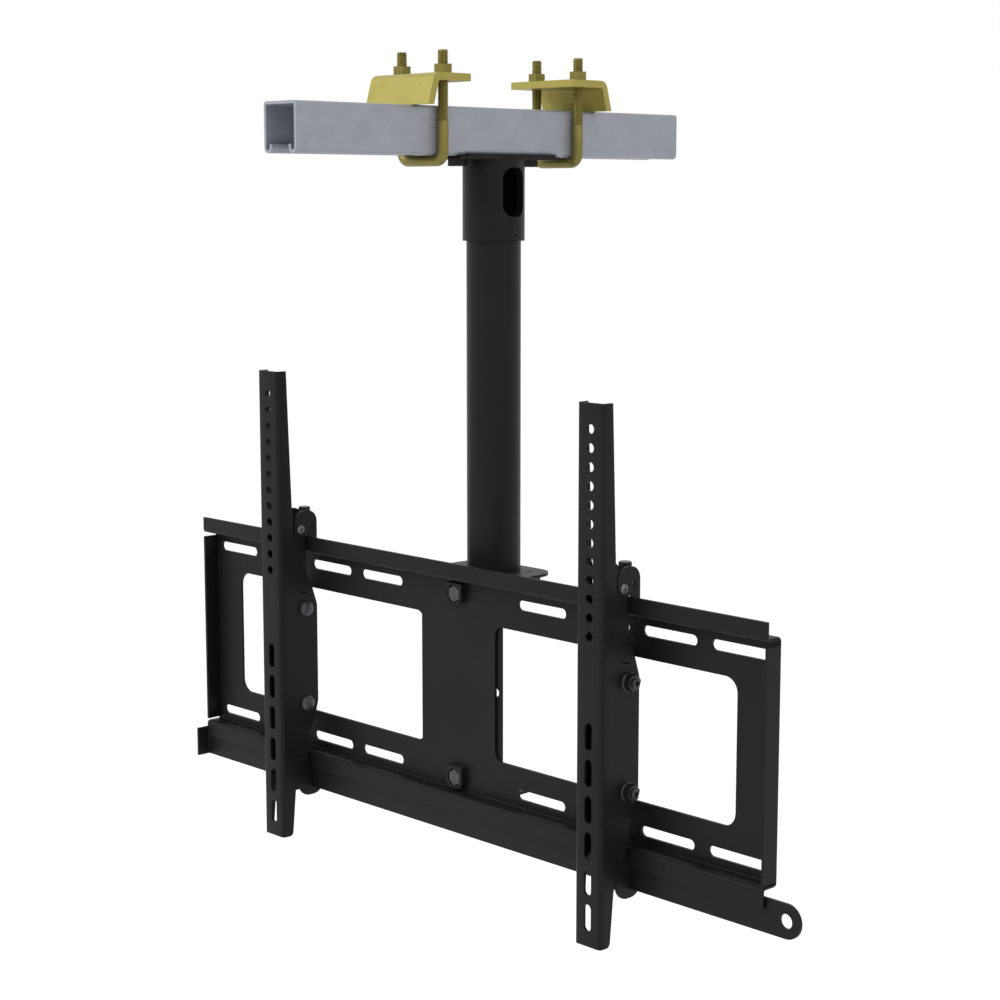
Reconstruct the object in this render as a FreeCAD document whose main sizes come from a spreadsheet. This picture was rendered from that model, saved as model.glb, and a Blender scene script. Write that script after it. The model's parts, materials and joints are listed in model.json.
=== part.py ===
# Ceiling mount for a television: strut and beam clamps, pole, wall plate, tilting rails
import FreeCAD, Part
import math
import os
import re
import Sketcher

Vector = FreeCAD.Vector
os.makedirs("parts", exist_ok=True)
doc = FreeCAD.newDocument("CeilingMount")

# Driving sizes in millimetres and degrees. Distances named front are measured towards the
# television, distances named drop are measured down from the top of the strut.
SIZES = {
    # Strut
    "strut_width": 41.3,
    "strut_height": 41.3,
    "strut_gauge": 2.5,
    "strut_mouth": 22.2,
    "strut_lip": 7.1,
    "strut_reach_front": 236.0,
    "strut_reach_rear": 218.3,
    "strut_bend": 3.0,
    "strut_curl": 4.7,
    # Square U-bolts and their nuts
    "rod_diameter": 9.3,
    "rod_spread": 52.0,
    "rod_bend": 8.0,
    "rod_front": 83.4,
    "rod_rear": 79.1,
    "rod_top": 45.8,
    "clamp_nut_flats": 14.3,
    "clamp_nut_height": 7.7,
    # Beam clamp plates
    "clamp_gauge": 6.3,
    "clamp_width": 80.0,
    "clamp_rise": 20.0,
    "clamp_tip": 21.3,
    "clamp_heel": 21.7,
    "clamp_toe": 29.0,
    "clamp_hole": 10.5,
    "clamp_bend": 8.0,
    # Pole socket under the strut
    "socket_plate_length": 121.6,
    "socket_plate_width": 47.0,
    "socket_gauge": 2.7,
    "socket_rim_rise": 2.0,
    "socket_rim_length": 104.0,
    "socket_diameter": 54.9,
    "socket_bore": 48.9,
    "socket_drop": 114.3,
    "window_width": 24.6,
    "window_drop": 50.8,
    "window_height": 42.7,
    "window_radius": 10.0,
    "socket_bolt_reach": 43.0,
    "socket_bolt_diameter": 10.0,
    "socket_bolt_flats": 15.0,
    "socket_bolt_head": 5.8,
    "channel_nut_length": 34.8,
    "channel_nut_width": 19.0,
    "channel_nut_height": 8.0,
    "set_screw_diameter": 5.0,
    "set_screw_drop": 109.5,
    # Extension pole and its collar
    "pole_diameter": 48.3,
    "pole_wall": 3.2,
    "pole_drop": 46.0,
    "pole_length": 394.0,
    "collar_length": 84.0,
    "collar_width": 50.0,
    "collar_gauge": 4.0,
    "collar_height": 24.0,
    "collar_diameter": 56.0,
    "collar_bore": 48.4,
    "collar_screw_x": 31.8,
    "collar_screw_y": 12.1,
    "collar_screw_diameter": 6.0,
    # Folded bracket between pole and wall plate
    "pole_bracket_gauge": 2.7,
    "pole_bracket_width": 104.0,
    "pole_bracket_rear": 31.0,
    "pole_bracket_rear_width": 96.0,
    "pole_bracket_corner": 18.0,
    "web_hole_spread": 91.2,
    "pole_hole": 48.8,
    # Wall plate
    "plate_front": 43.5,
    "plate_gauge": 2.5,
    "plate_width": 727.0,
    "plate_drop": 411.5,
    "plate_height": 194.5,
    "lip_depth": 15.0,
    "lip_height": 15.5,
    "plate_bend": 3.5,
    "side_gap_top": 4.0,
    "side_gap_bottom": 2.0,
    "opening_inner": 46.9,
    "opening_outer": 322.0,
    "opening_drop": 448.6,
    "opening_height": 121.4,
    "opening_radius_inner": 9.0,
    "opening_radius_outer": 12.5,
    "plate_slot_length": 58.0,
    "plate_slot_width": 9.0,
    "plate_slot_first": 105.0,
    "plate_slot_pitch": 73.0,
    "plate_slot_drop": 425.3,
    "plate_slot_rows": 168.7,
    # Spacer blocks and the bolts through them
    "block_width": 28.6,
    "block_depth": 11.0,
    "block_above": 12.6,
    "block_below": 8.2,
    "block_recess": 6.3,
    "block_recess_diameter": 16.0,
    "block_bolt_drop": 425.4,
    "block_bolt_rows": 168.2,
    "bolt_diameter": 8.0,
    "bolt_flats": 13.0,
    "bolt_head": 5.3,
    "nut_height": 6.5,
    # Lock bar
    "bar_gauge": 2.5,
    "bar_height": 28.3,
    "bar_drop": 613.4,
    "bar_left": 365.3,
    "bar_right": 397.9,
    "bar_tab": 13.0,
    "bar_hole": 12.0,
    # Television rails
    "rail_offset": 208.7,
    "rail_front": 93.5,
    "rail_width": 29.2,
    "rail_gauge": 2.4,
    "rail_drop": 237.0,
    "rail_length": 448.0,
    "rail_bend": 3.6,
    "flange_top": 10.9,
    "flange_narrow": 15.6,
    "flange_bottom": 11.6,
    "flange_step": 22.0,
    "flange_wide": 36.5,
    "step_drop": 367.8,
    "notch_drop": 380.4,
    "notch_height": 12.2,
    "notch_depth": 13.1,
    "rail_hole": 8.0,
    "rail_hole_drop": 257.76,
    "rail_hole_pitch": 15.24,
    "rail_slot_length": 23.0,
    "rail_slot_drop": 496.61,
    "rail_slot_pitch": 30.48,
    # Tilt joint: axis ahead of the rails, bolts riding in curved slots
    "tilt_front": 137.0,
    "tilt_drop": 511.0,
    "tilt_reach": 72.5,
    "tilt_half_span": 46.0,
    "tilt_back": 3.0,
    "tilt_forward": 8.5,
    "tilt_slot_width": 8.6,
    "tilt_bolt_diameter": 8.0,
    "tilt_bolt_hole": 8.3,
    "tilt_head_diameter": 15.0,
    "tilt_head_height": 5.0,
    "tilt_nut_flange": 17.9,
    "tilt_nut_height": 8.0,
    "tilt_bolt_end": 2.5,
    "sleeve_diameter": 12.0,
    # Hook brackets behind the rails
    "hook_gauge": 2.4,
    "hook_gap": 0.3,
    "hook_front": 77.3,
    "hook_top": 371.0,
    "hook_bottom": 649.5,
    "hook_finger_back": 46.7,
    "hook_bulge_back": 49.0,
    "hook_foot_back": 44.5,
    "hook_web_height": 48.0,
    "hook_web_rise": 12.0,
    # Cross bar, its screws, and the height screws
    "cross_bar_front": 70.3,
    "cross_bar_drop": 388.5,
    "cross_bar_diameter": 6.0,
    "cross_screw_diameter": 4.0,
    "cross_head_diameter": 8.6,
    "cross_head_height": 3.0,
    "bridge_drop": 385.3,
    "bridge_gauge": 3.0,
    "bridge_front": 62.5,
    "bridge_back": 47.0,
    "height_screw_front": 51.4,
    "height_screw_diameter": 6.0,
    "height_head_diameter": 11.0,
    "height_head_top": 369.0,
    "height_head_length": 14.0,
}

sheet = doc.addObject("Spreadsheet::Sheet", "Sheet")
for row, (name, value) in enumerate(SIZES.items(), 1):
    sheet.set("A%d" % row, name)
    sheet.set("B%d" % row, str(value))
    sheet.setAlias("B%d" % row, name)
doc.recompute()

PLANES = {"X": "YZ_Plane", "Y": "XZ_Plane", "Z": "XY_Plane"}
HAND = {"left": "-1", "right": "1"}


def bound(text):
    """A size formula with each named size taken from the sheet."""
    def swap(match):
        word = match.group(0)
        return "Sheet." + word if word in SIZES else word
    return re.sub(r"[A-Za-z_][A-Za-z_]*", swap, text)


def number(text):
    value = sheet.evalExpression(bound(text))
    return float(getattr(value, "Value", value))


def new_body(name):
    body = doc.addObject("PartDesign::Body", name)
    body.Label = name
    body.AllowCompound = True
    return body


def sketch_at(body, axis, level):
    """An empty sketch square to the axis, at that level along it."""
    sketch = body.newObject("Sketcher::SketchObject", "Outline")
    plane = next(p for p in body.Origin.OriginFeatures if p.Role == PLANES[axis])
    sketch.AttachmentSupport = [(plane, "")]
    sketch.MapMode = "FlatFace"
    sign = "-1" if axis == "Y" else "1"
    sketch.setExpression("AttachmentOffset.Base.z", bound("%s * (%s)" % (sign, level)))
    return sketch


def hold(sketch, kind, *args):
    """Adds a constraint whose last argument is a size formula."""
    index = sketch.addConstraint(Sketcher.Constraint(kind, *args[:-1], number(args[-1])))
    sketch.setExpression("Constraints[%d]" % index, bound(args[-1]))


def pin(sketch, geometry, point, across, up):
    hold(sketch, "DistanceX", -1, 1, geometry, point, across)
    hold(sketch, "DistanceY", -1, 1, geometry, point, up)


def polygon(sketch, points):
    spots = [Vector(number(a), number(b), 0) for a, b in points]
    count = len(spots)
    first = sketch.GeometryCount
    for i in range(count):
        sketch.addGeometry(Part.LineSegment(spots[i], spots[(i + 1) % count]), False)
    for i in range(count):
        sketch.addConstraint(Sketcher.Constraint(
            "Coincident", first + i, 2, first + (i + 1) % count, 1))
    for i, (across, up) in enumerate(points):
        pin(sketch, first + i, 1, across, up)


def rectangle(sketch, low_a, high_a, low_b, high_b):
    polygon(sketch, [(low_a, low_b), (high_a, low_b), (high_a, high_b), (low_a, high_b)])


def circle(sketch, across, up, diameter):
    spot = Vector(number(across), number(up), 0)
    radius = number(diameter) / 2
    index = sketch.addGeometry(Part.Circle(spot, Vector(0, 0, 1), radius), False)
    pin(sketch, index, 3, across, up)
    hold(sketch, "Radius", index, "(%s) / 2" % diameter)


def slot(sketch, across, up, length, width, upright):
    """A round-ended slot centred on a point."""
    reach = "((%s) - (%s)) / 2" % (length, width)
    if upright:
        ends = [(across, "%s + %s" % (up, reach)), (across, "%s - %s" % (up, reach))]
        turn = 0.0
    else:
        ends = [("%s - %s" % (across, reach), up), ("%s + %s" % (across, reach), up)]
        turn = math.pi / 2
    r = number(width) / 2
    spots = [Vector(number(a), number(b), 0) for a, b in ends]
    side = Vector(r * math.cos(turn), r * math.sin(turn), 0)
    arcs = [Part.ArcOfCircle(Part.Circle(spots[i], Vector(0, 0, 1), r),
                             turn + i * math.pi, turn + (i + 1) * math.pi) for i in (0, 1)]
    a = sketch.addGeometry(arcs[0], False)
    b = sketch.addGeometry(arcs[1], False)
    c = sketch.addGeometry(Part.LineSegment(spots[0] - side, spots[1] - side), False)
    d = sketch.addGeometry(Part.LineSegment(spots[1] + side, spots[0] + side), False)
    for one, two in ((a, c), (c, b), (b, d), (d, a)):
        sketch.addConstraint(Sketcher.Constraint("Tangent", one, 2, two, 1))
    sketch.addConstraint(Sketcher.Constraint("Equal", a, b))
    pin(sketch, a, 3, *ends[0])
    pin(sketch, b, 3, *ends[1])
    hold(sketch, "Radius", a, "(%s) / 2" % width)


def rounded(sketch, low_a, high_a, low_b, high_b, radius):
    """A rectangle with four equal round corners."""
    centres = [("%s - %s" % (high_a, radius), "%s - %s" % (high_b, radius)),
               ("%s + %s" % (low_a, radius), "%s - %s" % (high_b, radius)),
               ("%s + %s" % (low_a, radius), "%s + %s" % (low_b, radius)),
               ("%s - %s" % (high_a, radius), "%s + %s" % (low_b, radius))]
    r = number(radius)
    spots = [Vector(number(a), number(b), 0) for a, b in centres]
    arcs, lines = [], []
    for i, spot in enumerate(spots):
        arc = Part.ArcOfCircle(Part.Circle(spot, Vector(0, 0, 1), r), i * math.pi / 2,
                               (i + 1) * math.pi / 2)
        arcs.append(sketch.addGeometry(arc, False))
    for i, spot in enumerate(spots):
        out = Vector(r * math.cos((i + 1) * math.pi / 2), r * math.sin((i + 1) * math.pi / 2), 0)
        line = Part.LineSegment(spot + out, spots[(i + 1) % 4] + out)
        lines.append(sketch.addGeometry(line, False))
    for i in range(4):
        sketch.addConstraint(Sketcher.Constraint("Tangent", arcs[i], 2, lines[i], 1))
        sketch.addConstraint(Sketcher.Constraint("Tangent", lines[i], 2, arcs[(i + 1) % 4], 1))
        sketch.addConstraint(Sketcher.Constraint("Vertical" if i % 2 else "Horizontal", lines[i]))
    for arc in arcs[1:]:
        sketch.addConstraint(Sketcher.Constraint("Equal", arcs[0], arc))
    pin(sketch, arcs[0], 3, *centres[0])
    pin(sketch, arcs[2], 3, *centres[2])
    hold(sketch, "Radius", arcs[0], radius)


CABLE_WINDOW = (rounded, "-window_width / 2", "window_width / 2",
                "-window_drop - window_height", "-window_drop", "window_radius")


def hexagon(sketch, across, up, flats, turn="0"):
    points = []
    for i in range(6):
        angle = "(%s + %d)" % (turn, 60 * i)
        points.append(("%s + (%s) / sqrt(3) * cos(%s)" % (across, flats, angle),
                       "%s + (%s) / sqrt(3) * sin(%s)" % (up, flats, angle)))
    polygon(sketch, points)


def block(body, axis, low, high, *outlines):
    """Adds outlines drawn square to the axis as a solid from low to high along it."""
    return extrude(body, "PartDesign::Pad", axis, high if axis == "Y" else low, low, high, outlines)


def cut(body, axis, low, high, *outlines):
    """Removes outlines drawn square to the axis from low to high along it."""
    return extrude(body, "PartDesign::Pocket", axis, low if axis == "Y" else high, low, high, outlines)


def extrude(body, kind, axis, level, low, high, outlines):
    sketch = sketch_at(body, axis, level)
    for draw, *args in outlines:
        draw(sketch, *args)
    feature = body.newObject(kind, kind.split("::")[1])
    feature.Profile = sketch
    feature.setExpression("Length", bound("(%s) - (%s)" % (high, low)))
    doc.recompute()
    return feature


def line_at(axis, *points):
    """Picks straight edges along the axis that pass through the points square to it."""
    wanted = [(number(a), number(b)) for a, b in points]
    others = [i for i in range(3) if "XYZ"[i] != axis]

    def test(edge):
        if edge.Curve.TypeId != "Part::GeomLine":
            return False
        run = edge.Curve.Direction
        if abs(abs(run["XYZ".index(axis)]) - 1) > 1e-6:
            return False
        middle = edge.CenterOfMass
        return any(abs(middle[others[0]] - a) < 0.02 and abs(middle[others[1]] - b) < 0.02
                   for a, b in wanted)
    return test


def ring_at(axis, level, diameter):
    """Picks round edges of that diameter, square to the axis at that level."""
    height, radius, index = number(level), number(diameter) / 2, "XYZ".index(axis)

    def test(edge):
        return (edge.Curve.TypeId == "Part::GeomCircle"
                and abs(edge.Curve.Radius - radius) < 0.02
                and abs(abs(edge.Curve.Axis[index]) - 1) < 1e-6
                and abs(edge.Curve.Center[index] - height) < 0.02)
    return test


def soften(body, radius, *tests, kind="PartDesign::Fillet", key="Radius"):
    doc.recompute()
    base = body.Tip
    names = ["Edge%d" % i for i, edge in enumerate(base.Shape.Edges, 1)
             if any(test(edge) for test in tests)]
    if not names:
        raise RuntimeError("no edge to round on " + body.Label)
    feature = body.newObject(kind, kind.split("::")[1])
    feature.Base = (base, names)
    feature.setExpression(key, bound(radius))
    doc.recompute()
    if "Invalid" in feature.State or not feature.Shape.isValid():
        raise RuntimeError("rounding failed on %s at %s" % (body.Label, radius))
    return feature


def repeat(body, feature, kind, **values):
    """Repeats one feature by a mirror or a row."""
    pattern = body.newObject("PartDesign::" + kind, kind)
    pattern.Originals = [feature]
    for key, value in values.items():
        if isinstance(value, str):
            pattern.setExpression(key, bound(value))
        else:
            setattr(pattern, key, value)
    body.Tip = pattern
    doc.recompute()
    return pattern


def origin_axis(body, letter):
    return next(a for a in body.Origin.OriginFeatures if a.Role == letter + "_Axis")


def origin_plane(body, axis):
    return next(p for p in body.Origin.OriginFeatures if p.Role == PLANES[axis])


# Strut channel, open below with its edges turned in
def strut_channel():
    body = new_body("strut_channel")
    half, gauge, mouth = "strut_width / 2", "strut_gauge", "strut_mouth / 2"
    right = [("%s" % half, "0"),
             ("%s" % half, "-strut_height"),
             ("%s" % mouth, "-strut_height"),
             ("%s" % mouth, "-strut_height + strut_lip"),
             ("%s + %s" % (mouth, gauge), "-strut_height + strut_lip"),
             ("%s + %s" % (mouth, gauge), "-strut_height + %s" % gauge),
             ("%s - %s" % (half, gauge), "-strut_height + %s" % gauge),
             ("%s - %s" % (half, gauge), "-%s" % gauge)]
    left = [("-(%s)" % a, b) for a, b in reversed(right)]
    block(body, "Y", "-strut_reach_front", "strut_reach_rear", (polygon, right + left))
    soften(body, "strut_bend", line_at("Y", *[("%s(%s)" % (s, half), "0") for s in ("", "-")]))
    soften(body, "strut_bend / 4", line_at(
        "Y", *[("%s(%s - %s)" % (s, half, gauge), "-" + gauge) for s in ("", "-")]))
    curls = [("%s(%s)" % (s, x), "-strut_height") for s in ("", "-") for x in (half, mouth)]
    soften(body, "strut_curl", line_at("Y", *curls))
    inner = [("%s(%s)" % (s, x), "-strut_height + " + gauge) for s in ("", "-")
             for x in ("%s - %s" % (half, gauge), "%s + %s" % (mouth, gauge))]
    soften(body, "strut_curl - strut_gauge", line_at("Y", *inner))


# Square U-bolt round the strut
def ubolt(name, rod_y):
    body = new_body(name)
    low = "-strut_height - rod_diameter / 2"
    half = "rod_spread / 2"
    spine = sketch_at(body, "Y", rod_y)
    x, bend = number(half), number("rod_bend")
    bottom, top = number(low), number("rod_top")
    up = Vector(0, 0, 1)
    legs = [spine.addGeometry(line, False) for line in (
        Part.LineSegment(Vector(-x, top, 0), Vector(-x, bottom + bend, 0)),
        Part.ArcOfCircle(Part.Circle(Vector(-x + bend, bottom + bend, 0), up, bend),
                         math.pi, 1.5 * math.pi),
        Part.LineSegment(Vector(-x + bend, bottom, 0), Vector(x - bend, bottom, 0)),
        Part.ArcOfCircle(Part.Circle(Vector(x - bend, bottom + bend, 0), up, bend),
                         1.5 * math.pi, 2 * math.pi),
        Part.LineSegment(Vector(x, bottom + bend, 0), Vector(x, top, 0)))]
    for i in range(4):
        spine.addConstraint(Sketcher.Constraint("Tangent", legs[i], 2, legs[i + 1], 1))
    spine.addConstraint(Sketcher.Constraint("Vertical", legs[0]))
    spine.addConstraint(Sketcher.Constraint("Horizontal", legs[2]))
    spine.addConstraint(Sketcher.Constraint("Vertical", legs[4]))
    for i in (1, 3):
        hold(spine, "Radius", legs[i], "rod_bend")
    pin(spine, legs[0], 1, "-(%s)" % half, "rod_top")
    pin(spine, legs[4], 2, half, "rod_top")
    hold(spine, "DistanceY", -1, 1, legs[2], 1, low)
    profile = sketch_at(body, "Z", "rod_top")
    circle(profile, "-(%s)" % half, rod_y, "rod_diameter")
    pipe = body.newObject("PartDesign::AdditivePipe", "Rod")
    pipe.Profile = profile
    pipe.Spine = spine
    doc.recompute()
    soften(body, "rod_diameter * 0.09", ring_at("Z", "rod_top", "rod_diameter"),
           kind="PartDesign::Chamfer", key="Size")


# Clamp plate: heel on the strut, tip over the beam flange
def clamp_plate(name, side, rod_y):
    body = new_body(name)
    top = "clamp_rise + clamp_gauge"
    drop = "%%s * clamp_gauge * sqrt(1 + ((clamp_toe - clamp_heel) / (%s))^2)" % top
    points = [("%s - %s * clamp_tip" % (rod_y, side), "clamp_rise"),
              ("%s - %s * clamp_tip" % (rod_y, side), top),
              ("%s + %s * clamp_heel" % (rod_y, side), top),
              ("%s + %s * clamp_toe" % (rod_y, side), "0"),
              ("%s + %s * clamp_toe - %s" % (rod_y, side, drop % side), "0"),
              ("%s + %s * (clamp_toe - (clamp_toe - clamp_heel) * clamp_rise / (%s)) - %s"
               % (rod_y, side, top, drop % side), "clamp_rise")]
    block(body, "X", "-clamp_width / 2", "clamp_width / 2", (polygon, points))
    soften(body, "clamp_bend", line_at("X", points[2]))
    soften(body, "clamp_bend / 3", line_at("X", points[5]))
    corners = [("%sclamp_width / 2" % s, points[0][0]) for s in ("", "-")]
    soften(body, "clamp_bend / 2", line_at("Z", *corners))
    cut(body, "Z", "clamp_rise - clamp_gauge", "%s + clamp_gauge" % top,
        (circle, "-rod_spread / 2", rod_y, "clamp_hole"),
        (circle, "rod_spread / 2", rod_y, "clamp_hole"))


def clamp_nuts(name, rod_y, turn):
    body = new_body(name)
    low, high = "clamp_rise + clamp_gauge", "clamp_rise + clamp_gauge + clamp_nut_height"
    for side in ("-", ""):
        across = "%srod_spread / 2" % side
        block(body, "Z", low, high,
              (hexagon, across, rod_y, "clamp_nut_flats", turn),
              (circle, across, rod_y, "rod_diameter + 0.1"))


# Socket: folded plate under the strut with the pole tube below it
def pole_socket():
    body = new_body("pole_socket")
    top, under = "-strut_height", "-strut_height - socket_gauge"
    half_x, half_y = "socket_plate_width / 2", "socket_plate_length / 2"
    block(body, "Z", under, top,
          (rectangle, "-(%s)" % half_x, half_x, "-(%s)" % half_y, half_y))
    soften(body, "socket_gauge",
           line_at("Z", *[("%s(%s)" % (a, half_x), "%s(%s)" % (b, half_y))
                          for a in ("", "-") for b in ("", "-")]))
    rim = block(body, "Z", top, "%s + socket_rim_rise" % top,
                (rectangle, "strut_width / 2 + 0.15", half_x,
                 "-socket_rim_length / 2", "socket_rim_length / 2"))
    repeat(body, rim, "Mirrored", MirrorPlane=(origin_plane(body, "X"), [""]))
    block(body, "Z", "-socket_drop", under, (circle, "0", "0", "socket_diameter"))
    cut(body, "Z", "-socket_drop", under, (circle, "0", "0", "socket_bore"))
    for side in ("-", ""):
        cut(body, "Z", under, top,
            (circle, "0", "%ssocket_bolt_reach" % side, "socket_bolt_diameter + 0.6"))
    cut(body, "X", "0", "socket_diameter", CABLE_WINDOW)
    cut(body, "X", "0", "socket_diameter",
        (circle, "0", "-set_screw_drop", "set_screw_diameter + 0.1"))


def socket_bolts():
    body = new_body("socket_bolts")
    under = "-strut_height - socket_gauge"
    for side in ("-", ""):
        spot = "%ssocket_bolt_reach" % side
        block(body, "Z", "%s - socket_bolt_head" % under, under,
              (hexagon, "0", spot, "socket_bolt_flats"))
        block(body, "Z", under, "-strut_height + strut_lip + channel_nut_height + 1",
              (circle, "0", spot, "socket_bolt_diameter"))


def channel_nuts():
    body = new_body("channel_nuts")
    low = "-strut_height + strut_lip"
    for side in ("-", ""):
        spot = "%ssocket_bolt_reach" % side
        block(body, "Z", low, "%s + channel_nut_height" % low,
              (rectangle, "-channel_nut_length / 2", "channel_nut_length / 2",
               "%s - channel_nut_width / 2" % spot, "%s + channel_nut_width / 2" % spot),
              (circle, "0", spot, "socket_bolt_diameter + 0.1"))


def socket_set_screw():
    body = new_body("socket_set_screw")
    block(body, "X", "pole_diameter / 2", "socket_diameter / 2",
          (circle, "0", "-set_screw_drop", "set_screw_diameter"))
    cut(body, "X", "pole_diameter / 2 + 1.2", "socket_diameter / 2",
        (hexagon, "0", "-set_screw_drop", "set_screw_diameter / 2"))


# Pole with a cable opening behind that of the socket
def extension_pole():
    body = new_body("extension_pole")
    block(body, "Z", "-pole_drop - pole_length", "-pole_drop",
          (circle, "0", "0", "pole_diameter"),
          (circle, "0", "0", "pole_diameter - 2 * pole_wall"))
    cut(body, "X", "0", "socket_diameter", CABLE_WINDOW)


PLATE_TOP = "-plate_drop + plate_gauge"
PLATE_BACK = "-plate_front + plate_gauge"


def pole_collar():
    body = new_body("pole_collar")
    high = "%s - pole_bracket_gauge" % PLATE_TOP
    low = "%s - collar_gauge" % high
    flange = [("%scollar_length / 2" % a, "%scollar_width / 2" % b)
              for a, b in (("-", "-"), ("", "-"), ("", ""), ("-", ""))]
    block(body, "Z", low, high, (polygon, flange))
    soften(body, "collar_width / 4", line_at("Z", *flange))
    block(body, "Z", "%s - collar_height" % high, low, (circle, "0", "0", "collar_diameter"))
    cut(body, "Z", "%s - collar_height" % high, high, (circle, "0", "0", "collar_bore"))
    cut(body, "Z", low, high,
        (circle, "-collar_screw_x", "collar_screw_y", "collar_screw_diameter + 0.6"),
        (circle, "collar_screw_x", "collar_screw_y", "collar_screw_diameter + 0.6"))


def collar_screws():
    body = new_body("collar_screws")
    seat = "%s - pole_bracket_gauge - collar_gauge" % PLATE_TOP
    for side in ("-", ""):
        across = "%scollar_screw_x" % side
        block(body, "Z", "%s - collar_screw_diameter * 0.6" % seat, seat,
              (circle, across, "collar_screw_y", "collar_screw_diameter * 1.7"))
        block(body, "Z", seat, "%s - 0.4" % PLATE_TOP,
              (circle, across, "collar_screw_y", "collar_screw_diameter"))


# Folded bracket: web behind the wall plate, top and bottom turned back towards the pole
def pole_bracket():
    body = new_body("pole_bracket")
    top, bottom = PLATE_TOP, "-plate_drop - plate_height"
    wide = "pole_bracket_width / 2"
    web_back = "%s + pole_bracket_gauge" % PLATE_BACK
    block(body, "Y", PLATE_BACK, web_back, (rectangle, "-" + wide, wide, bottom, top))
    rear = "pole_bracket_rear_width / 2"
    shelf = [(wide, PLATE_BACK), (wide, "%s + 4" % web_back), (rear, "pole_bracket_rear"),
             ("-" + rear, "pole_bracket_rear"), ("-" + wide, "%s + 4" % web_back),
             ("-" + wide, PLATE_BACK)]
    block(body, "Z", "%s - pole_bracket_gauge" % top, top, (polygon, shelf))
    block(body, "Z", bottom, "%s + pole_bracket_gauge" % bottom, (polygon, shelf))
    soften(body, "pole_bracket_corner", line_at("Z", shelf[2], shelf[3]))
    soften(body, "pole_bracket_gauge * 1.4",
           line_at("X", (PLATE_BACK, top), (PLATE_BACK, bottom)))
    soften(body, "pole_bracket_gauge * 0.5",
           line_at("X", (web_back, "%s - pole_bracket_gauge" % top),
                   (web_back, "%s + pole_bracket_gauge" % bottom)))
    cut(body, "Z", "%s - 2 * pole_bracket_gauge" % top, top, (circle, "0", "0", "pole_hole"),
        (circle, "-collar_screw_x", "collar_screw_y", "collar_screw_diameter + 0.2"),
        (circle, "collar_screw_x", "collar_screw_y", "collar_screw_diameter + 0.2"))
    cut(body, "Y", PLATE_BACK, web_back,
        (circle, "0", "-block_bolt_drop", "bolt_diameter + 0.5"),
        (circle, "0", "-block_bolt_drop - block_bolt_rows", "bolt_diameter + 0.5"),
        (circle, "web_hole_spread / 2", "-plate_drop - plate_height / 2", "bolt_diameter"),
        (circle, "-web_hole_spread / 2", "-plate_drop - plate_height / 2", "bolt_diameter"))


# Wall plate: panel with a shelf and lip along the top and bottom and a flange at each side
def wall_plate():
    body = new_body("wall_plate")
    gauge, half = "plate_gauge", "plate_width / 2"
    front, back = "-plate_front", PLATE_BACK
    lip, lip_back = "-plate_front - lip_depth", "-plate_front - lip_depth + plate_gauge"
    low = "-plate_drop - plate_height"
    section = [(back, PLATE_TOP), (lip_back, PLATE_TOP),
               (lip_back, "-plate_drop + lip_height"), (lip, "-plate_drop + lip_height"),
               (lip, "-plate_drop"), (front, "-plate_drop"), (front, low), (lip, low),
               (lip, "%s - lip_height - 1" % low), (lip_back, "%s - lip_height - 1" % low),
               (lip_back, "%s - %s" % (low, gauge)), (back, "%s - %s" % (low, gauge))]
    block(body, "X", "-" + half, half, (polygon, section))
    soften(body, "plate_bend", line_at("X", section[0], section[4], section[7], section[11]))
    soften(body, "plate_bend - plate_gauge", line_at(
        "X", section[1], section[5], section[6], section[10]))
    for low_x, high_x in (("-" + half, "-%s + %s" % (half, gauge)), ("%s - %s" % (half, gauge), half)):
        block(body, "X", low_x, high_x,
              (rectangle, lip, back, "%s + side_gap_bottom" % low, "-plate_drop - side_gap_top"))
    ends = [("%s%s" % (s, half), back) for s in ("", "-")]
    soften(body, "plate_gauge * 0.9", line_at("Z", *ends))
    for side in ("", "-"):
        corners = [("%s%s" % (side, x), z) for x in ("opening_inner", "opening_outer")
                   for z in ("-opening_drop", "-opening_drop - opening_height")]
        cut(body, "Y", front, back, (polygon, [corners[0], corners[1], corners[3], corners[2]]))
        soften(body, "opening_radius_inner", line_at("Y", corners[0], corners[1]))
        soften(body, "opening_radius_outer", line_at("Y", corners[2], corners[3]))
    slots = []
    for side in ("-", ""):
        for i in range(4):
            across = "%s(plate_slot_first + %d * plate_slot_pitch)" % (side, i)
            for drop in ("-plate_slot_drop", "-plate_slot_drop - plate_slot_rows"):
                slots.append((slot, across, drop, "plate_slot_length", "plate_slot_width", False))
    cut(body, "Y", front, back, *slots)
    cut(body, "Y", front, back,
        (circle, "0", "-block_bolt_drop", "bolt_diameter + 0.5"),
        (circle, "0", "-block_bolt_drop - block_bolt_rows", "bolt_diameter + 0.5"))


# Spacer block with a sunk seat for its bolt
def plate_spacer(name, bolt_z):
    body = new_body(name)
    front, back = "-plate_front - block_depth", "-plate_front"
    base = "%s - block_below" % bolt_z
    corners = [("-block_width / 2", "%s + block_above" % bolt_z), ("-block_width / 2", base),
               ("block_width / 2", base), ("block_width / 2", "%s + block_above" % bolt_z)]
    block(body, "Y", front, back, (polygon, corners))
    soften(body, "block_below", line_at("Y", corners[1], corners[2]))
    cut(body, "Y", front, "%s + block_recess" % front, (circle, "0", bolt_z, "block_recess_diameter"))
    cut(body, "Y", front, back, (circle, "0", bolt_z, "bolt_diameter + 0.5"))


def bracket_bolts():
    body = new_body("bracket_bolts")
    seat = "-plate_front - block_depth + block_recess"
    end = "%s + pole_bracket_gauge + nut_height + 1.5" % PLATE_BACK
    for bolt_z in ("-block_bolt_drop", "-block_bolt_drop - block_bolt_rows"):
        block(body, "Y", "%s - bolt_head" % seat, seat, (hexagon, "0", bolt_z, "bolt_flats", "30"))
        block(body, "Y", seat, end, (circle, "0", bolt_z, "bolt_diameter"))


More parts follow.
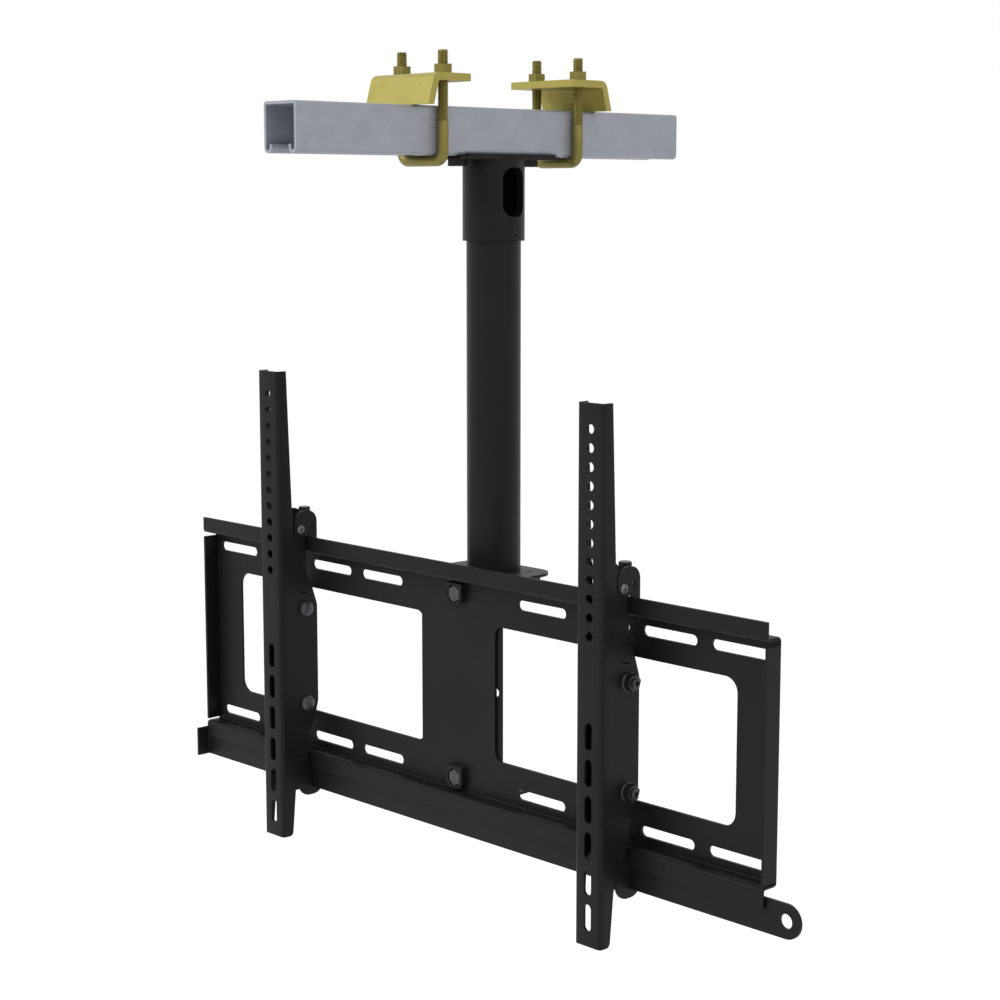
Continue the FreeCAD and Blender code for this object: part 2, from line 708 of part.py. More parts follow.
def bracket_nuts():
    body = new_body("bracket_nuts")
    seat = "%s + pole_bracket_gauge" % PLATE_BACK
    for bolt_z in ("-block_bolt_drop", "-block_bolt_drop - block_bolt_rows"):
        block(body, "Y", seat, "%s + nut_height" % seat,
              (hexagon, "0", bolt_z, "bolt_flats", "30"),
              (circle, "0", bolt_z, "bolt_diameter + 0.1"))


BAR_FRONT = "-plate_front - lip_depth + plate_gauge + 0.4"


# Lock bar with a turned tab at one end and a padlock hole at the other
def lock_bar():
    body = new_body("lock_bar")
    top, bottom = "-bar_drop", "-bar_drop - bar_height"
    back = "%s + bar_gauge" % BAR_FRONT
    block(body, "Y", BAR_FRONT, back,
          (rectangle, "-bar_left - bar_gauge", "bar_right", bottom, top))
    soften(body, "bar_height / 2 - 0.05", line_at("Y", ("bar_right", top), ("bar_right", bottom)))
    block(body, "X", "-bar_left - bar_gauge", "-bar_left",
          (rectangle, "%s - bar_tab" % BAR_FRONT, BAR_FRONT, bottom, top))
    soften(body, "bar_gauge * 1.3", line_at("Z", ("-bar_left - bar_gauge", back)))
    soften(body, "bar_gauge * 0.4", line_at("Z", ("-bar_left", BAR_FRONT)))
    cut(body, "Y", BAR_FRONT, back,
        (circle, "bar_right - bar_height / 2", "-bar_drop - bar_height / 2", "bar_hole"))


# Rail: channel open at the back, its flanges wider between the tilt bolts
def tv_rail(side):
    body = new_body("tv_rail_" + side)
    centre = "%s * rail_offset" % HAND[side]
    half = "rail_width / 2"
    bottom = "-rail_drop - rail_length"

    def edge(depth):
        return "-rail_front + " + depth
    profile = [("-rail_front", "-rail_drop"), (edge("flange_top"), "-rail_drop"),
               (edge("flange_narrow"), "-step_drop"), (edge("flange_step"), "-step_drop"),
               (edge("flange_step"), "-notch_drop"), (edge("notch_depth"), "-notch_drop"),
               (edge("notch_depth"), "-notch_drop - notch_height"),
               (edge("flange_step"), "-notch_drop - notch_height"),
               (edge("flange_step"), "-tilt_drop + tilt_half_span + 28"),
               (edge("flange_wide"), "-tilt_drop + tilt_half_span + 16"),
               (edge("flange_wide"), "-tilt_drop - tilt_half_span - 16"),
               (edge("flange_narrow"), "-tilt_drop - tilt_half_span - 34"),
               (edge("flange_narrow"), "-tilt_drop - tilt_half_span - 83"),
               (edge("flange_bottom"), bottom), ("-rail_front", bottom)]
    block(body, "X", "%s - %s" % (centre, half), "%s + %s" % (centre, half), (polygon, profile))
    inner = "(%s - rail_gauge)" % half
    cut(body, "Y", "-rail_front + rail_gauge", "-rail_front + flange_wide",
        (rectangle, "%s - %s" % (centre, inner), "%s + %s" % (centre, inner), bottom, "-rail_drop"))
    soften(body, "rail_bend", line_at("Z", ("%s - %s" % (centre, half), "-rail_front"),
                                      ("%s + %s" % (centre, half), "-rail_front")))
    soften(body, "rail_bend - rail_gauge", line_at(
        "Z", ("%s - %s" % (centre, inner), "-rail_front + rail_gauge"),
        ("%s + %s" % (centre, inner), "-rail_front + rail_gauge")))
    soften(body, "rail_bend", line_at("X", profile[3], profile[9], profile[10], profile[13]))
    hole = cut(body, "Y", "-rail_front", "-rail_front + rail_gauge",
               (circle, centre, "-rail_hole_drop", "rail_hole"))
    repeat(body, hole, "LinearPattern", Direction=(origin_axis(body, "Z"), [""]), Reversed=True,
           Length="11 * rail_hole_pitch", Occurrences=12)
    first = cut(body, "Y", "-rail_front", "-rail_front + rail_gauge",
                (slot, centre, "-rail_slot_drop - rail_slot_length / 2",
                 "rail_slot_length", "rail_hole", True))
    repeat(body, first, "LinearPattern", Direction=(origin_axis(body, "Z"), [""]), Reversed=True,
           Length="5 * rail_slot_pitch", Occurrences=6)
    for sign in ("+", "-"):
        cut(body, "X", "%s - %s" % (centre, half), "%s + %s" % (centre, half),
            (circle, "-tilt_front + tilt_reach", "-tilt_drop %s tilt_half_span" % sign,
             "tilt_bolt_hole"))


HOOK_INNER = "(rail_width / 2 + hook_gap)"
HOOK_OUTER = "(rail_width / 2 + hook_gap + hook_gauge)"
LIP_FRONT = "-plate_front - lip_depth"
LIP_BACK = "-plate_front - lip_depth + plate_gauge"


# Hook bracket: two shaped side plates joined by a short web at the back
def hook_bracket(side):
    body = new_body("hook_bracket_" + side)
    centre = "%s * rail_offset" % HAND[side]
    low_x, high_x = "%s - %s" % (centre, HOOK_OUTER), "%s + %s" % (centre, HOOK_OUTER)
    front, seat = "-hook_front", "-bar_drop - bar_height - 0.3"
    bulge_top, bulge_bottom = "-tilt_drop + tilt_half_span", "-tilt_drop - tilt_half_span"
    foot = "%s + bar_gauge + 0.3" % BAR_FRONT
    plate_low = "-plate_drop - plate_height"
    profile = [(front, "-hook_bottom"), (front, "-hook_top"),
               ("-hook_finger_back", "-hook_top"),
               ("-hook_finger_back", "%s + 1.5" % PLATE_TOP),
               ("%s + 0.6" % LIP_BACK, "%s + 1.5" % PLATE_TOP),
               ("%s + 0.6" % LIP_BACK, "-plate_drop + lip_height + 1"),
               ("%s - 2.3" % LIP_FRONT, "-plate_drop + lip_height + 1"),
               ("%s - 2.3" % LIP_FRONT, "-plate_drop - 19.5"),
               ("-hook_bulge_back - 5.6", "%s + 20" % bulge_top),
               ("-hook_bulge_back", "%s + 3" % bulge_top),
               ("-hook_bulge_back", "%s + 1" % bulge_bottom),
               ("-hook_bulge_back - 2.6", "%s - 9.5" % bulge_bottom),
               ("%s - 1.5" % LIP_FRONT, "%s + 19" % plate_low),
               ("%s - 1.5" % LIP_FRONT, "%s - lip_height - 2" % plate_low),
               ("%s - 2.7" % BAR_FRONT, "%s - lip_height - 10" % plate_low),
               ("%s - 2.7" % BAR_FRONT, seat), (foot, seat),
               (foot, "%s + bar_height / 2" % seat), ("-hook_foot_back", "%s + bar_height / 2" % seat),
               ("-hook_foot_back", "-hook_bottom")]
    block(body, "X", low_x, high_x, (polygon, profile))
    soften(body, "12", line_at("X", profile[0], profile[19]))
    soften(body, "11", line_at("X", profile[1], profile[2]))
    soften(body, "8", line_at("X", profile[8], profile[9], profile[11]))
    soften(body, "3", line_at("X", profile[7], profile[12]))
    inner_low, inner_high = "%s - %s" % (centre, HOOK_INNER), "%s + %s" % (centre, HOOK_INNER)
    web_top = "-tilt_drop + hook_web_rise + hook_web_height / 2"
    web_bottom = "-tilt_drop + hook_web_rise - hook_web_height / 2"
    cut(body, "Y", front, "-hook_foot_back", (rectangle, inner_low, inner_high, web_top, "-hook_top"))
    cut(body, "Y", front, "-hook_foot_back",
        (rectangle, inner_low, inner_high, "-hook_bottom", web_bottom))
    cut(body, "Y", front, "-hook_bulge_back - hook_gauge",
        (rectangle, inner_low, inner_high, web_bottom, web_top))
    radius = "sqrt(tilt_reach * tilt_reach + tilt_half_span * tilt_half_span)"
    for sign in ("+", "-"):
        start = "(%satan(tilt_half_span / tilt_reach) - tilt_back * 1 deg)" % sign
        end = "(%satan(tilt_half_span / tilt_reach) + tilt_forward * 1 deg)" % sign
        sketch = body.newObject("Sketcher::SketchObject", "SlotSection")
        sketch.AttachmentSupport = [(origin_plane(body, "Z"), "")]
        sketch.MapMode = "FlatFace"
        sketch.AttachmentOffset = FreeCAD.Placement(Vector(), FreeCAD.Rotation(Vector(1, 0, 0), 10))
        sketch.setExpression("AttachmentOffset.Base.y", bound("-tilt_front"))
        sketch.setExpression("AttachmentOffset.Base.z", bound("-tilt_drop"))
        sketch.setExpression("AttachmentOffset.Rotation.Angle", bound(start))
        rectangle(sketch, "%s - 1" % low_x, "%s + 1" % high_x,
                  "%s - tilt_slot_width / 2" % radius, "%s + tilt_slot_width / 2" % radius)
        groove = body.newObject("PartDesign::Groove", "TiltSlot")
        groove.Profile = sketch
        groove.ReferenceAxis = (sketch, ["H_Axis"])
        groove.setExpression("Angle", bound("tilt_back + tilt_forward"))
        doc.recompute()
        for angle in (start, end):
            cut(body, "X", low_x, high_x,
                (circle, "-tilt_front + %s * cos(%s)" % (radius, angle),
                 "-tilt_drop + %s * sin(%s)" % (radius, angle), "tilt_slot_width"))
    cut(body, "X", low_x, high_x,
        (circle, "-cross_bar_front", "-cross_bar_drop", "cross_screw_diameter + 0.3"),
        (rectangle, "-bridge_front + 2.2", "-hook_finger_back - 2.8",
         "-bridge_drop - bridge_gauge - 0.2", "-bridge_drop + 0.2"))


# Round cross bar that ties the two side plates
def cross_bar(side):
    body = new_body("cross_bar_" + side)
    centre = "%s * rail_offset" % HAND[side]
    block(body, "X", "%s - %s" % (centre, HOOK_INNER), "%s + %s" % (centre, HOOK_INNER),
          (circle, "-cross_bar_front", "-cross_bar_drop", "cross_bar_diameter"),
          (circle, "-cross_bar_front", "-cross_bar_drop", "cross_screw_diameter + 0.1"))


def cross_screws(side):
    body = new_body("cross_screws_" + side)
    centre = "%s * rail_offset" % HAND[side]
    spot = ("-cross_bar_front", "-cross_bar_drop")
    levels = (("%s - %s - cross_head_height" % (centre, HOOK_OUTER), "%s - %s" % (centre, HOOK_OUTER),
               "%s - %s + 8" % (centre, HOOK_OUTER)),
              ("%s + %s + cross_head_height" % (centre, HOOK_OUTER), "%s + %s" % (centre, HOOK_OUTER),
               "%s + %s - 8" % (centre, HOOK_OUTER)))
    for crown, seat, end in levels:
        low, high = sorted((crown, seat), key=number)
        block(body, "X", low, high, (circle, *spot, "cross_head_diameter"))
        soften(body, "cross_head_height * 0.6", ring_at("X", crown, "cross_head_diameter"))
        low, high = sorted((seat, end), key=number)
        block(body, "X", low, high, (circle, *spot, "cross_screw_diameter"))


# Threaded bridge plate, its tabs held in the side plates
def bridge_plate(side):
    body = new_body("bridge_plate_" + side)
    centre = "%s * rail_offset" % HAND[side]
    low, high = "-bridge_drop - bridge_gauge", "-bridge_drop"
    block(body, "Z", low, high,
          (rectangle, "%s - %s" % (centre, HOOK_INNER), "%s + %s" % (centre, HOOK_INNER),
           "-bridge_front", "-bridge_back"))
    block(body, "Z", low, high,
          (rectangle, "%s - %s" % (centre, HOOK_OUTER), "%s + %s" % (centre, HOOK_OUTER),
           "-bridge_front + 2.4", "-hook_finger_back - 3"))
    cut(body, "Z", low, high,
        (circle, centre, "-height_screw_front", "height_screw_diameter + 0.1"))


def height_screw(side):
    body = new_body("height_screw_" + side)
    centre = "%s * rail_offset" % HAND[side]
    seat = "-height_head_top - height_head_length"
    block(body, "Z", seat, "-height_head_top",
          (circle, centre, "-height_screw_front", "height_head_diameter"))
    soften(body, "0.8", ring_at("Z", "-height_head_top", "height_head_diameter"),
           kind="PartDesign::Chamfer", key="Size")
    block(body, "Z", "%s + 0.2" % PLATE_TOP, seat,
          (circle, centre, "-height_screw_front", "height_screw_diameter"))


# Tilt bolts, nuts and sleeves; heads face the middle of the mount
def tilt_levels(side):
    centre = "%s * rail_offset" % HAND[side]
    inward = "-1" if side == "right" else "1"
    return centre, inward


def tilt_bolts(side):
    body = new_body("tilt_bolts_" + side)
    centre, inward = tilt_levels(side)
    seat = "%s + %s * %s" % (centre, inward, HOOK_OUTER)
    crown = "%s + %s * (%s + tilt_head_height)" % (centre, inward, HOOK_OUTER)
    end = "%s - %s * (%s + tilt_nut_height + tilt_bolt_end)" % (centre, inward, HOOK_OUTER)
    for sign in ("+", "-"):
        spot = ("-tilt_front + tilt_reach", "-tilt_drop %s tilt_half_span" % sign)
        low, high = sorted((crown, seat), key=number)
        block(body, "X", low, high, (circle, *spot, "tilt_head_diameter"))
        soften(body, "tilt_head_height * 0.84", ring_at("X", crown, "tilt_head_diameter"))
        low, high = sorted((seat, end), key=number)
        block(body, "X", low, high, (circle, *spot, "tilt_bolt_diameter"))


def tilt_nuts(side):
    body = new_body("tilt_nuts_" + side)
    centre, inward = tilt_levels(side)
    seat = "%s - %s * %s" % (centre, inward, HOOK_OUTER)
    flange = "%s - %s * (%s + tilt_nut_height / 5)" % (centre, inward, HOOK_OUTER)
    end = "%s - %s * (%s + tilt_nut_height)" % (centre, inward, HOOK_OUTER)
    for sign in ("+", "-"):
        spot = ("-tilt_front + tilt_reach", "-tilt_drop %s tilt_half_span" % sign)
        low, high = sorted((seat, flange), key=number)
        block(body, "X", low, high, (circle, *spot, "tilt_nut_flange"),
              (circle, *spot, "tilt_bolt_diameter + 0.1"))
        low, high = sorted((flange, end), key=number)
        block(body, "X", low, high, (hexagon, *spot, "bolt_flats"),
              (circle, *spot, "tilt_bolt_diameter + 0.1"))


def tilt_sleeves(side):
    body = new_body("tilt_sleeves_" + side)
    centre = tilt_levels(side)[0]
    inner = "(rail_width / 2 - rail_gauge)"
    for sign in ("+", "-"):
        spot = ("-tilt_front + tilt_reach", "-tilt_drop %s tilt_half_span" % sign)
        block(body, "X", "%s - %s" % (centre, inner), "%s + %s" % (centre, inner),
              (circle, *spot, "sleeve_diameter"), (circle, *spot, "tilt_bolt_diameter + 0.3"))


strut_channel()
ubolt("ubolt_front", "-rod_front")
ubolt("ubolt_rear", "rod_rear")
clamp_plate("clamp_plate_front", "-1", "-rod_front")
clamp_plate("clamp_plate_rear", "1", "rod_rear")
clamp_nuts("clamp_nuts_front", "-rod_front", "22")
clamp_nuts("clamp_nuts_rear", "rod_rear", "11")
pole_socket()
socket_bolts()
channel_nuts()
socket_set_screw()
extension_pole()
pole_collar()
collar_screws()
pole_bracket()
wall_plate()
plate_spacer("plate_spacer_upper", "-block_bolt_drop")
plate_spacer("plate_spacer_lower", "(-block_bolt_drop - block_bolt_rows)")
bracket_bolts()
bracket_nuts()
lock_bar()
for side in ("left", "right"):
    tv_rail(side)
    hook_bracket(side)
    cross_bar(side)
    cross_screws(side)
    bridge_plate(side)
    height_screw(side)
    tilt_bolts(side)
    tilt_nuts(side)
    tilt_sleeves(side)
doc.recompute()

bodies = [obj for obj in doc.Objects if obj.TypeId == "PartDesign::Body"]
for obj in doc.Objects:
    if "Invalid" in obj.State or "Error" in obj.State:
        raise RuntimeError("%s (%s) failed" % (obj.Name, obj.Label))
for body in bodies:
    if body.Shape.isNull() or not body.Shape.isValid():
        raise RuntimeError(body.Label + " has no valid shape")
for body in bodies:
    body.Shape.exportStep("parts/%s.step" % body.Label)
    print(body.Label, len(body.Shape.Solids), round(body.Shape.Volume))
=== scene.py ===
import json
import math

import bmesh
import bpy
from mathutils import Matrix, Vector


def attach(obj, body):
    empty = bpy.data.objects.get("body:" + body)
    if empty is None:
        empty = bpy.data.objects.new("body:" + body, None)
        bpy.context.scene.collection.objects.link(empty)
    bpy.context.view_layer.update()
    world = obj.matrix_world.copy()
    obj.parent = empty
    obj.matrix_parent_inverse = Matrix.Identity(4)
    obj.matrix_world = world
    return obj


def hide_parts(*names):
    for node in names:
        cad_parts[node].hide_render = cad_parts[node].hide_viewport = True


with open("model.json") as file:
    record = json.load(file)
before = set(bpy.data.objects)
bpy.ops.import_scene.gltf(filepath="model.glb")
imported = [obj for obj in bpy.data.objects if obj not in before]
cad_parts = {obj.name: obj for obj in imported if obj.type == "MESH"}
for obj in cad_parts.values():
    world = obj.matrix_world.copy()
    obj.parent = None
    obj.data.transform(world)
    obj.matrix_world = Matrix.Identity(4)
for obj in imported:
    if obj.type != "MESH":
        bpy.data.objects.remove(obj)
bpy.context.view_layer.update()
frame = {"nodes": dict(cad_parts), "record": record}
nodes = frame["nodes"]


# Camera at the photograph's place
camera_data = bpy.data.cameras.new("camera")
camera_data.sensor_width = 36.0
camera_data.lens = 74.64
camera_data.clip_start, camera_data.clip_end = 0.05, 50.0
camera = bpy.data.objects.new("camera", camera_data)
camera.location = (1.33629, -1.27368, -0.07541)
camera.rotation_euler = (math.radians(81.66), 0.0, math.radians(46.2))
bpy.context.scene.collection.objects.link(camera)
bpy.context.scene.camera = camera


# Materials: texture scales for a metre, bump distances in metres
DRIFT_SCALE, GLOSS_SCALE, GLOSS_SWING = 9.0, 60.0, 0.05
PEEL_SCALE, PEEL_STRENGTH, PEEL_DISTANCE = 1400.0, 0.25, 0.00012
MOTTLE_SCALE, STREAK_SCALE, STREAK_DISTANCE = 45.0, 260.0, 0.0002


def new_material(name):
    """A material with a Principled shader: returns it, its tree, shader and object coordinates."""
    material = bpy.data.materials.new(name)
    material.use_nodes = True
    tree = material.node_tree
    shader = tree.nodes["Principled BSDF"]
    place = tree.nodes.new("ShaderNodeTexCoord").outputs["Object"]
    return material, tree, shader, place


def noise(tree, place, scale, detail, roughness=0.5, stretch=None):
    """Noise from 0 to 1, scaled along each axis by stretch where that is given."""
    if stretch:
        mapping = tree.nodes.new("ShaderNodeMapping")
        mapping.inputs["Scale"].default_value = stretch
        tree.links.new(place, mapping.inputs["Vector"])
        place = mapping.outputs["Vector"]
    node = tree.nodes.new("ShaderNodeTexNoise")
    node.inputs["Scale"].default_value = scale
    node.inputs["Detail"].default_value = detail
    node.inputs["Roughness"].default_value = roughness
    tree.links.new(place, node.inputs["Vector"])
    return node.outputs["Fac"]


def ramp(tree, value, stops):
    """Colours for a 0 to 1 value, from stops (position, colour)."""
    node = tree.nodes.new("ShaderNodeValToRGB")
    elements = node.color_ramp.elements
    while len(elements) < len(stops):
        elements.new(0.5)
    for element, (position, colour) in zip(elements, stops):
        element.position = position
        element.color = (*colour, 1.0)
    tree.links.new(value, node.inputs["Fac"])
    return node.outputs["Color"]


def span(tree, value, low, high):
    """Maps a 0 to 1 value to low to high."""
    node = tree.nodes.new("ShaderNodeMapRange")
    node.inputs["To Min"].default_value = low
    node.inputs["To Max"].default_value = high
    tree.links.new(value, node.inputs["Value"])
    return node.outputs["Result"]


def bump(tree, shader, height, strength, distance):
    node = tree.nodes.new("ShaderNodeBump")
    node.inputs["Strength"].default_value = strength
    node.inputs["Distance"].default_value = distance
    tree.links.new(height, node.inputs["Height"])
    tree.links.new(node.outputs["Normal"], shader.inputs["Normal"])


def powder_coat(name, dark, light, roughness, specular=0.12):
    """Satin powder coat: fine orange peel and a faint drift in tone and gloss."""
    material, tree, shader, place = new_material(name)
    drift = noise(tree, place, DRIFT_SCALE, 5.0, 0.6)
    colour = ramp(tree, drift, [(0.3, dark), (0.7, light)])
    tree.links.new(colour, shader.inputs["Base Color"])
    gloss = span(tree, noise(tree, place, GLOSS_SCALE, 3.0),
                 roughness - GLOSS_SWING, roughness + GLOSS_SWING)
    tree.links.new(gloss, shader.inputs["Roughness"])
    shader.inputs["Specular IOR Level"].default_value = specular
    bump(tree, shader, noise(tree, place, PEEL_SCALE, 2.0), PEEL_STRENGTH, PEEL_DISTANCE)
    return material


def plated(name, stops, roughness, stretch, streak, metallic=0.3):
    """Plated steel: mottled tone with fine drawing streaks along one way."""
    material, tree, shader, place = new_material(name)
    mottle = noise(tree, place, MOTTLE_SCALE, 6.0, 0.62)
    tree.links.new(ramp(tree, mottle, stops), shader.inputs["Base Color"])
    shader.inputs["Metallic"].default_value = metallic
    shader.inputs["Specular IOR Level"].default_value = 0.3
    lines = noise(tree, place, STREAK_SCALE, 3.0, 0.6, stretch)
    tree.links.new(span(tree, lines, roughness - 0.08, roughness + 0.1),
                   shader.inputs["Roughness"])
    bump(tree, shader, lines, streak, STREAK_DISTANCE)
    return material


ALONG_Y, ALONG_X, ALONG_Z = (1.0, 0.05, 1.0), (0.08, 1.0, 1.0), (1.0, 1.0, 0.3)
coat = powder_coat("black_powder_coat", (0.0104, 0.0104, 0.0107), (0.0142, 0.0142, 0.0145), 0.42)
fastener = powder_coat("black_oxide", (0.014, 0.014, 0.014), (0.022, 0.021, 0.020), 0.4, 0.2)
plastic = powder_coat("black_moulded", (0.015, 0.015, 0.016), (0.019, 0.019, 0.020), 0.5)
strut_zinc = plated("strut_zinc", [(0.3, (0.335, 0.350, 0.395)), (0.7, (0.390, 0.410, 0.458))],
                    0.42, ALONG_Y, 0.12)
nut_zinc = plated("nut_zinc", [(0.3, (0.046, 0.046, 0.050)), (0.7, (0.088, 0.088, 0.095))],
                  0.36, ALONG_Z, 0.1, 0.5)
dull_zinc = plated("dull_zinc", [(0.3, (0.026, 0.026, 0.028)), (0.7, (0.048, 0.048, 0.051))],
                   0.34, ALONG_Z, 0.1, 0.6)
bright_zinc = plated("bright_zinc", [(0.3, (0.13, 0.13, 0.135)), (0.7, (0.20, 0.20, 0.21))],
                     0.36, ALONG_Z, 0.1, 0.5)
yellow_zinc = plated("yellow_zinc", [(0.28, (0.36, 0.315, 0.070)), (0.5, (0.42, 0.36, 0.082)),
                                     (0.72, (0.37, 0.335, 0.095))], 0.42, ALONG_X, 0.12)
rod_zinc = plated("rod_zinc", [(0.3, (0.20, 0.172, 0.042)), (0.7, (0.26, 0.220, 0.052))],
                  0.34, (1.0, 1.0, 0.08), 0.1)

SLOT_LOOKS = {
    "black_coat": coat,
    "black_fastener": fastener,
    "black_plastic": plastic,
    "zinc_strut": strut_zinc,
    "zinc_fastener": nut_zinc,
    "yellow_zinc": yellow_zinc,
}
slot_of = {part["node"]: part["material_slot"] for part in frame["record"]["subparts"]}
for name, node in nodes.items():
    on_rods = name.startswith(("ubolt", "clamp_nuts"))
    node.data.materials.clear()
    node.data.materials.append(rod_zinc if on_rods else SLOT_LOOKS[slot_of[name]])


# Shapes: outlines in millimetres made into solids that can be cut and joined
METRES = 0.001
PAST = 1.0              # how far a cutting shape stands out of what it cuts


def rounded(corners, steps=6):
    """An outline from corners (a, b, radius), each rounded by its own radius."""
    points = []
    for i, (a, b, radius) in enumerate(corners):
        here = Vector((a, b))
        if not radius:
            points.append(here)
            continue
        before = (Vector(corners[i - 1][:2]) - here).normalized()
        after = (Vector(corners[(i + 1) % len(corners)][:2]) - here).normalized()
        half = before.angle(after) / 2
        middle = here + (before + after).normalized() * (radius / math.sin(half))
        start = here + before * (radius / math.tan(half)) - middle
        end = here + after * (radius / math.tan(half)) - middle
        turn = start.angle_signed(end)
        for k in range(steps + 1):
            c, s = math.cos(-turn * k / steps), math.sin(-turn * k / steps)
            points.append(middle + Vector((start.x * c - start.y * s, start.x * s + start.y * c)))
    return points


def rounded_box(a, b, half_a, half_b, radius, steps=6):
    return rounded([(a - half_a, b - half_b, radius), (a + half_a, b - half_b, radius),
                    (a + half_a, b + half_b, radius), (a - half_a, b + half_b, radius)], steps)


def disc(a, b, diameter, count=40, turn=0.0):
    angles = [turn + 2 * math.pi * i / count for i in range(count)]
    return [Vector((a + diameter / 2 * math.cos(angle), b + diameter / 2 * math.sin(angle)))
            for angle in angles]


def hexagon(a, b, across_flats, turn):
    return disc(a, b, across_flats / math.cos(math.pi / 6), 6, turn)


def solid(corners, faces):
    """A mesh from corners in millimetres and faces that list them."""
    shape = bmesh.new()
    for corner in corners:
        shape.verts.new([METRES * c for c in corner])
    shape.verts.ensure_lookup_table()
    for face in faces:
        shape.faces.new([shape.verts[i] for i in face])
    bmesh.ops.recalc_face_normals(shape, faces=shape.faces)
    mesh = bpy.data.meshes.new("shape")
    shape.to_mesh(mesh)
    shape.free()
    return mesh


def prism(outline, axis, low, high):
    """A solid with that outline square to the axis: (Y, Z) for X, (X, Z) for Y, (X, Y) for Z."""
    place = {"X": lambda p, t: (t, p.x, p.y), "Y": lambda p, t: (p.x, t, p.y),
             "Z": lambda p, t: (p.x, p.y, t)}[axis]
    count = len(outline)
    corners = [place(p, t) for t in (low, high) for p in outline]
    faces = [tuple(range(count)), tuple(range(count, 2 * count))]
    faces += [(i, (i + 1) % count, count + (i + 1) % count, count + i) for i in range(count)]
    return solid(corners, faces)


def block(x, y, z):
    """A box between two values along each axis."""
    outline = [Vector(p) for p in ((x[0], y[0]), (x[1], y[0]), (x[1], y[1]), (x[0], y[1]))]
    return prism(outline, "Z", *z)


def turned(profile, axis, a, b, count=40):
    """A solid turned about a line along the axis, from (radius, level) at each step."""
    corners, faces = [], []
    for radius, level in profile:
        for p in disc(a, b, 2 * radius, count):
            corners.append({"X": (level, p.x, p.y), "Z": (p.x, p.y, level)}[axis])
    for k in range(len(profile) - 1):
        for i in range(count):
            j = (i + 1) % count
            faces.append((k * count + i, k * count + j, (k + 1) * count + j, (k + 1) * count + i))
    faces += [tuple(range(count)), tuple(range(len(corners) - count, len(corners)))]
    return solid(corners, faces)


def dome(seat, way, radius, height, a, b, rim=0.16):
    """A domed head along X, standing on the level seat towards way."""
    profile = [(radius, seat), (radius, seat + way * height * rim)]
    for k in range(1, 9):
        t = math.radians(k * 11.0)
        profile.append((radius * math.cos(t),
                        seat + way * height * (rim + (1 - rim) * math.sin(t))))
    return turned(profile, "X", a, b)


def joined(*meshes, weld=0.0):
    """The meshes as one, with points nearer than weld, in metres, made one."""
    shape = bmesh.new()
    for mesh in meshes:
        shape.from_mesh(mesh)
    if weld:
        bmesh.ops.remove_doubles(shape, verts=shape.verts, dist=weld)
    mesh = bpy.data.meshes.new("shape")
    shape.to_mesh(mesh)
    shape.free()
    return mesh


def combined(mesh, other, operation="DIFFERENCE"):
    """The mesh cut by the other one, or what the two share."""
    blank, tool = (bpy.data.objects.new("tool", m) for m in (mesh, other))
    for item in (blank, tool):
        bpy.context.scene.collection.objects.link(item)
    modifier = blank.modifiers.new("cut", "BOOLEAN")
    modifier.operation, modifier.object, modifier.solver = operation, tool, "EXACT"
    modifier.use_self = True
    graph = bpy.context.evaluated_depsgraph_get()
    result = bpy.data.meshes.new_from_object(blank.evaluated_get(graph))
    for item in (blank, tool):
        bpy.data.objects.remove(item)
    return result


def piece(name, mesh, material, body, slot, *replaced):
    """Shows the mesh on a body, in place of the CAD nodes that are named."""
    for face in mesh.polygons:
        face.use_smooth = True
    mesh.set_sharp_from_angle(angle=math.radians(32))
    mesh.materials.clear()
    mesh.materials.append(material)
    item = bpy.data.objects.new(name, mesh)
    bpy.context.scene.collection.objects.link(item)
    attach(item, body)
    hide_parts(*replaced)


# Rails: channels whose flanges lie outside the hook brackets' plates
RAIL_X, RAIL_HALF, RAIL_FRONT, RAIL_BEND, SHEET = 208.7, 14.6, -93.5, 3.6, 2.4
HOLES, HOLE_TOP, HOLE_PITCH, HOLE_WIDTH = 12, -257.76, 15.24, 8.0
SLOTS, SLOT_TOP, SLOT_PITCH, SLOT_LENGTH = 6, -508.11, 30.48, 23.0
# Side view (Y, Z, radius), down the back edge from the top
RAIL_SIDE = [(RAIL_FRONT, -237.0, 0), (-82.6, -237.0, 0), (-77.9, -367.8, 0.5),
             (-76.9, -367.8, 0.5), (-76.9, -394.5, 6), (-65.2, -396.5, 3), (-65.2, -409.0, 2),
             (-61.8, -411.0, 2), (-61.8, -431.0, 6), (-54.6, -445.0, 12), (-49.0, -462.0, 12),
             (-49.0, -556.0, 12), (-51.6, -566.5, 8), (-60.0, -587.0, 6), (-60.0, -602.0, 2),
             (-64.0, -606.0, 2), (-64.0, -614.0, 2), (-73.7, -614.0, 1), (-77.9, -641.0, 3),
             (-81.9, -685.0, 4), (RAIL_FRONT, -685.0, 0)]
# Slit above the upper tilt bolt, through both flanges
SLIT = [(-71.5, -447.2, 0.2), (-66.0, -448.0, 4), (-60.4, -449.6, 0.2), (-60.4, -450.2, 0.2),
        (-66.0, -449.5, 4), (-71.5, -447.8, 0.2)]


def foot_cut(top):
    """Takes the back of a flange off below the level top."""
    return rounded([(-81.0, top, 6), (-40.0, top, 0), (-40.0, -700.0, 0), (-86.0, -700.0, 0)])


